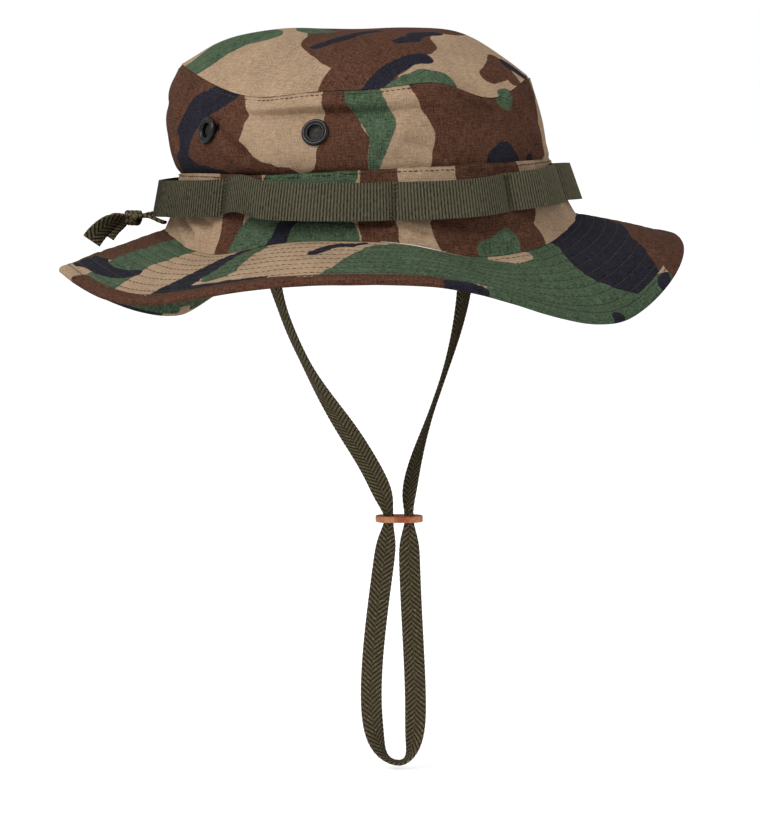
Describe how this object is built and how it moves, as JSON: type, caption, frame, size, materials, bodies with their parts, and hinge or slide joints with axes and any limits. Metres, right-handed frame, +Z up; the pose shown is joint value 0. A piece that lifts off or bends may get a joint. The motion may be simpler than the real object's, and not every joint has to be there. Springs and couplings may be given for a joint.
{
  "type": "boonie hat",
  "caption": "Soft field hat with an oval crown, wide drooping quilted brim, branch loops, side vents and a corded chin strap with a leather slider.",
  "frame": {"origin": "centre of the head opening, in the plane where the crown meets the brim", "axes": "+X to the front of the hat, +Y to the wearer's left, +Z up"},
  "size_m": [0.2793, 0.285, 0.351],
  "materials": {
    "camo_cloth": "matte",
    "olive_webbing": "matte",
    "olive_thread": "satin",
    "stiffener_felt": "matte",
    "sweatband_cotton": "matte",
    "black_metal": "satin",
    "dark_wire": "satin",
    "olive_braid": "matte",
    "tan_leather": "matte"
  },
  "bodies": {
    "hat": {"crown_top": "camo_cloth", "crown_wall_right": "camo_cloth", "crown_wall_left": "camo_cloth", "crown_band_right": "camo_cloth", "crown_band_left": "camo_cloth", "top_seam_tape": "olive_webbing", "crown_stitching": "olive_thread", "brim_upper_ply": "camo_cloth", "brim_stiffener": "stiffener_felt", "brim_lower_ply": "camo_cloth", "brim_binding": "camo_cloth", "brim_quilting": "olive_thread", "binding_stitching": "olive_thread", "sweatband": "sweatband_cotton", "sweatband_stitching": "olive_thread", "branch_loop_webbing": "olive_webbing", "loop_bar_tacks": "olive_thread", "vent_eyelets": "black_metal", "vent_washers": "black_metal", "vent_screens": "dark_wire", "cord_in_channel": "olive_braid"},
    "chin_cord": {"chin_cord": "olive_braid"},
    "slider": {"leather_slider": "tan_leather"},
    "back_tie": {"back_tie": "olive_braid"}
  },
  "joints": [
    {"name": "chin_cord_swing", "type": "hinge", "parent": "hat", "child": "chin_cord", "pos_m": [0, 0, -0.003], "axis": [0, 1, 0], "range_deg": [-50, 55]},
    {"name": "slider_travel", "type": "slide", "parent": "chin_cord", "child": "slider", "axis": [-0.1219, 0, 0.9925], "range_m": [-0.05, 0.04], "deforming": ["chin_cord"]},
    {"name": "back_tie_lift", "type": "hinge", "parent": "hat", "child": "back_tie", "pos_m": [-0.0949, -0.0345, 0.002], "axis": [-0.342, 0.9397, 0], "range_deg": [0, 60]}
  ]
}
